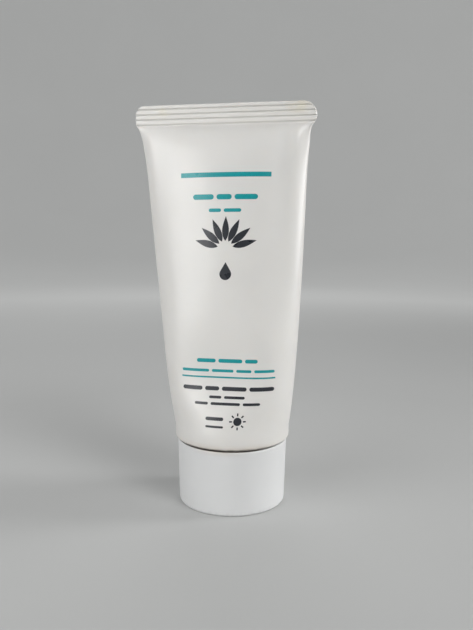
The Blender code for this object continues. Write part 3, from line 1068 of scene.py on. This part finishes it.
def painted_groove_shade(tree, place):
    """Painted shade in the weld's pressed lines: one along the middle of each, and nothing between
    them.
    """
    height = height_of(tree, place)
    weld_line_shade = 0.0
    for i in range(GROOVE_COUNT):
        middle = SLEEVE_END + SLEEVE_LENGTH - GROOVE_FIRST - i * GROOVE_PITCH
        away = maths(tree, "ABSOLUTE", maths(tree, "SUBTRACT", height, middle), 0.0)
        line = map_range(tree, away, GROOVE_SHADE_FADES, FALLING)
        weld_line_shade = maths(tree, "MAXIMUM", line, weld_line_shade)
    return weld_line_shade


def sleeve_colour(tree, place):
    """Cloudy white with faint specks, painted shade in the weld lines, smudged corners, a pale
    stain of dried serum above the seam, and painted shade of the seam's gap in the brown of dried
    serum.
    """
    colour = cloudy(tree, place, SLEEVE_WHITE, SLEEVE_CLOUD, SLEEVE_CLOUD_SHADE)
    marks = times(tree, specks(tree, place), SPECK_COVER)
    colour = mix(tree, marks, colour, shaded(SLEEVE_WHITE, SPECK_SHADE))
    # Painted shade in the weld's pressed lines
    weld_line_shade = times(tree, painted_groove_shade(tree, place), GROOVE_COVER)
    colour = mix(tree, weld_line_shade, colour, shaded(SLEEVE_WHITE, GROOVE_PAINTED_SHADE))
    blots = noise_node(tree, place, *BLOTS)
    for point, fades, cover in SMUDGES:
        mask = near_point(tree, place, point, fades)
        uneven = map_range(tree, blots, BLOT_SPAN, BLOT_COVER)
        colour = mix(tree, times(tree, mask, uneven, cover), colour, SMUDGE_YELLOW)
    pale_dirt = times(tree, seam_dirt_and_shade(tree, place, SEAM_PALE), SEAM_PALE_COVER)
    colour = mix(tree, pale_dirt, colour, RESIDUE_PALE)
    # Lowest in the seam: painted shade of the gap to the cap, in the dark brown of dried serum
    return mix(tree, seam_dirt_and_shade(tree, place, SEAM_SHADE_AND_RESIDUE), colour, RESIDUE_AND_SHADE)


def sleeve_plastic():
    """Semi-gloss laminate: smears, faint scratches and soft dents in a printed white skin."""
    material, tree, shader = new_material("sleeve_plastic")
    place = object_place(tree)
    tree.links.new(sleeve_colour(tree, place), shader.inputs["Base Color"])
    smears = noise_node(tree, place, *SLEEVE_SMEARS)
    scratches = noise_node(tree, stretched(tree, place, ALONG_SCRATCHES), *SCRATCHES)
    rough = map_range(tree, smears, NOISE_SPAN, SLEEVE_ROUGHNESS)
    scratched = map_range(tree, scratches, SCRATCH_SPAN, SCRATCH_ADDS)
    tree.links.new(maths(tree, "ADD", rough, scratched), shader.inputs["Roughness"])
    add_bump(tree, shader, ((noise_node(tree, place, *SLEEVE_DENTS), *SLEEVE_DENT_BUMP),
                            (noise_node(tree, place, *SLEEVE_GRAIN), *SLEEVE_GRAIN_BUMP)))
    set_inputs(shader, Subsurface_Weight=0.10, Subsurface_Radius=(1.0, 0.85, 0.7),
               Subsurface_Scale=0.0010, IOR=1.5)
    return material


def cap_plastic():
    """Satin moulded cap: fine spark grain, a scuffed foot, a stained rim, and painted shade of the
    gap to the sleeve on the rim's top edge, in the brown of dried serum.
    """
    material, tree, shader = new_material("cap_plastic")
    place = object_place(tree)
    height = height_of(tree, place)
    colour = cloudy(tree, place, CAP_WHITE, CAP_CLOUD, CAP_CLOUD_SHADE)
    scuffs = noise_node(tree, stretched(tree, place, ALONG_SCUFFS), *SCUFFS)
    foot = map_range(tree, height, WORN_FOOT, FALLING)
    worn = times(tree, foot, map_range(tree, scuffs, SCUFF_SPAN, WHOLE))
    colour = mix(tree, times(tree, worn, SCUFF_COVER), colour, shaded(CAP_WHITE, SCUFF_SHADE))
    rim = map_range(tree, height, STAIN_BAND, WHOLE)
    stain = near_point(tree, place, STAIN_SPOT, STAIN_FADES)
    colour = mix(tree, times(tree, rim, stain, STAIN_COVER), colour, RESIDUE_PALE)
    # Top edge of the rim: painted shade of the gap to the sleeve, in the brown of dried serum,
    # strongest at the middle of the front
    edge = map_range(tree, height, RIM_EDGE, WHOLE)
    patch = near_point(tree, place, RESIDUE_AND_SHADE_SPOT, RESIDUE_AND_SHADE_FADES)
    seam_shade_and_residue = map_range(tree, patch, WHOLE, RIM_COVER)
    colour = mix(tree, times(tree, edge, seam_shade_and_residue), colour, RESIDUE_AND_SHADE)
    tree.links.new(colour, shader.inputs["Base Color"])
    rough = map_range(tree, noise_node(tree, place, *CAP_SMEARS), NOISE_SPAN, CAP_ROUGHNESS)
    scuffed = times(tree, worn, SCUFF_ADDS)
    tree.links.new(maths(tree, "ADD", rough, scuffed), shader.inputs["Roughness"])
    add_bump(tree, shader, ((cells(tree, place, CAP_SPARKS), *CAP_SPARK_BUMP),
                            (noise_node(tree, place, *CAP_DENTS), *CAP_DENT_BUMP)))
    set_inputs(shader, Subsurface_Weight=0.08, Subsurface_Radius=(1.0, 0.95, 0.9),
               Subsurface_Scale=0.0010, IOR=1.49)
    return material


def moulded_plastic(name, colour, roughness, haze):
    """Plain moulded plastic with flow marks along the height."""
    material, tree, shader = new_material(name)
    place = object_place(tree)
    flow = noise_node(tree, stretched(tree, place, ALONG_FLOW), *FLOW)
    tint = ramp(tree, flow, NOISE_SPAN, (shaded(colour, FLOW_SHADE), colour))
    tree.links.new(tint, shader.inputs["Base Color"])
    rough = map_range(tree, noise_node(tree, place, *FLOW_SMEARS), NOISE_SPAN, roughness)
    tree.links.new(rough, shader.inputs["Roughness"])
    add_bump(tree, shader, ((flow, *FLOW_BUMP),
                            (cells(tree, place, MOULD_SPARKS), *MOULD_SPARK_BUMP)))
    set_inputs(shader, Subsurface_Weight=haze, Subsurface_Radius=(0.9, 1.0, 1.0),
               Subsurface_Scale=0.0012, IOR=1.5)
    return material


def foam():
    """Closed-cell foam with its small pits, darkened at their bottoms with painted shade."""
    material, tree, shader = new_material("wad_foam")
    place = object_place(tree)
    pits = cells(tree, place, FOAM_PITS)
    tint = ramp(tree, pits, PIT_SPAN, (FOAM_PIT_SHADE, FOAM_TOP))
    tree.links.new(tint, shader.inputs["Base Color"])
    rough = map_range(tree, noise_node(tree, place, *FOAM_SMEARS), NOISE_SPAN, FOAM_ROUGHNESS)
    tree.links.new(rough, shader.inputs["Roughness"])
    add_bump(tree, shader, ((pits, *FOAM_BUMP),))
    return material


def cream():
    """Glossy serum with slow swirls."""
    material, tree, shader = new_material("serum_cream")
    place = object_place(tree)
    swirl = noise_node(tree, stretched(tree, place, ALONG_SWIRLS), *SWIRLS)
    tint = ramp(tree, swirl, NOISE_SPAN, (CREAM_DEEP, CREAM_PALE))
    tree.links.new(tint, shader.inputs["Base Color"])
    rough = map_range(tree, swirl, NOISE_SPAN, CREAM_ROUGHNESS)
    tree.links.new(rough, shader.inputs["Roughness"])
    add_bump(tree, shader, ((swirl, *SWIRL_BUMP),))
    set_inputs(shader, Subsurface_Weight=0.3, Subsurface_Scale=0.002)
    return material


def ink(name, colour):
    """Screen-printed ink, with slightly uneven cover."""
    material, tree, shader = new_material(name)
    place = object_place(tree)
    cover = noise_node(tree, place, *INK_COVER)
    tint = ramp(tree, cover, INK_SPAN, (shaded(colour, THIN_INK_SHADE), colour))
    tree.links.new(tint, shader.inputs["Base Color"])
    rough = map_range(tree, noise_node(tree, place, *INK_SMEARS), NOISE_SPAN, INK_ROUGHNESS)
    tree.links.new(rough, shader.inputs["Roughness"])
    add_bump(tree, shader, ((cover, *INK_BUMP),))
    return material


def make_camera():
    """The photo's own view of the tube."""
    azimuth = math.radians(CAMERA_AZIMUTH)
    heading = math.radians(CAMERA_AZIMUTH + CAMERA_PAN)
    pitch = math.radians(CAMERA_PITCH)
    roll = math.radians(CAMERA_ROLL)
    forward = Vector((-math.sin(heading) * math.cos(pitch),
                      math.cos(heading) * math.cos(pitch), -math.sin(pitch)))
    right = Vector((math.cos(heading), math.sin(heading), 0.0))
    up = right.cross(forward)
    turned_right = right * math.cos(roll) + up * math.sin(roll)
    turned_up = up * math.cos(roll) - right * math.sin(roll)
    data = bpy.data.cameras.new("camera")
    data.sensor_width = SENSOR
    data.lens = FOCAL_PIXELS * SENSOR / max(PHOTO_WIDTH, PHOTO_HEIGHT)
    data.clip_start, data.clip_end = CAMERA_SEES
    camera = bpy.data.objects.new("camera", data)
    bpy.context.scene.collection.objects.link(camera)
    turn = Matrix((turned_right, turned_up, -forward)).transposed().to_4x4()
    place = Vector((CAMERA_DISTANCE * math.sin(azimuth),
                    -CAMERA_DISTANCE * math.cos(azimuth), CAMERA_HEIGHT))
    camera.matrix_world = Matrix.Translation(place) @ turn
    bpy.context.scene.camera = camera


def make_stage():
    """Pale floor that sweeps up all round into a wall. Its glow gives no diffuse light."""
    outline = [(0.0, 0.0)] + [(FLOOR_RADIUS * share, 0.0) for share in FLOOR_RING_SHARES]
    outline += arc((FLOOR_RADIUS, SWEEP_RADIUS), SWEEP_RADIUS, -90, 0, SWEEP_STEPS)[1:]
    outline.append((FLOOR_RADIUS + SWEEP_RADIUS, STAGE_HEIGHT))
    mesh = turned("studio_floor", outline, STAGE_SEGMENTS)
    material, tree, shader = new_material("floor_paper")
    place = object_place(tree)
    colour = ramp(tree, noise_node(tree, place, *PAPER_CLOUD), NOISE_SPAN,
                  (shaded(FLOOR_COLOUR, PAPER_SHADE), FLOOR_COLOUR))
    tree.links.new(colour, shader.inputs["Base Color"])
    add_bump(tree, shader, ((noise_node(tree, place, *PAPER_GRAIN), *PAPER_BUMP),))
    path = node(tree, "ShaderNodeLightPath").outputs
    rays = maths(tree, "MAXIMUM", path["Is Camera Ray"], path["Is Glossy Ray"])
    rays = maths(tree, "MAXIMUM", rays, path["Is Transmission Ray"])
    close = near_point(tree, place, (0.0, 0.0, 0.0), GLOW_FADES)
    glow = map_range(tree, close, FALLING, (FLOOR_GLOW, WALL_GLOW))
    tree.links.new(times(tree, rays, glow), shader.inputs["Emission Strength"])
    tree.links.new(colour, shader.inputs["Emission Color"])
    set_inputs(shader, Roughness=PAPER_ROUGHNESS)
    floor = add_piece("studio_floor", mesh, material, FLOOR_SHARP_ANGLE)
    floor.visible_shadow = False


def make_light():
    """Soft lamps round the tube, a dim even world, and plain colour handling."""
    for name, (place, size, energy, height, spread) in LAMPS.items():
        data = bpy.data.lights.new(name, "AREA")
        data.shape = "RECTANGLE"
        data.size, data.size_y = size
        data.energy = energy
        data.spread = math.radians(spread)
        lamp = bpy.data.objects.new(name, data)
        bpy.context.scene.collection.objects.link(lamp)
        lamp.location = place
        aim = Vector((0.0, 0.0, height)) - lamp.location
        lamp.rotation_euler = aim.to_track_quat("-Z", "Y").to_euler()
    world = bpy.data.worlds.new("studio")
    world.use_nodes = True
    world.node_tree.nodes["Background"].inputs["Color"].default_value = WORLD_COLOUR
    world.node_tree.nodes["Background"].inputs["Strength"].default_value = WORLD_STRENGTH
    bpy.context.scene.world = world
    bpy.context.scene.view_settings.view_transform = "Standard"


make_camera()
make_sleeve(sleeve_plastic())
make_cap(cap_plastic())
make_shoulder(moulded_plastic("shoulder_plastic", SHOULDER_WHITE, SHOULDER_ROUGHNESS, HAZE))
make_plug(moulded_plastic("insert_plastic", PLUG_WHITE, PLUG_ROUGHNESS, MILKY_HAZE))
make_liner(moulded_plastic("liner_plastic", LINER_WHITE, LINER_ROUGHNESS, HAZE))
make_disc(foam())
make_label(ink("teal_ink", TEAL), ink("dark_ink", DARK))
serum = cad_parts["serum_fill"]
serum.data.materials.clear()
serum.data.materials.append(cream())
make_stage()
make_light()
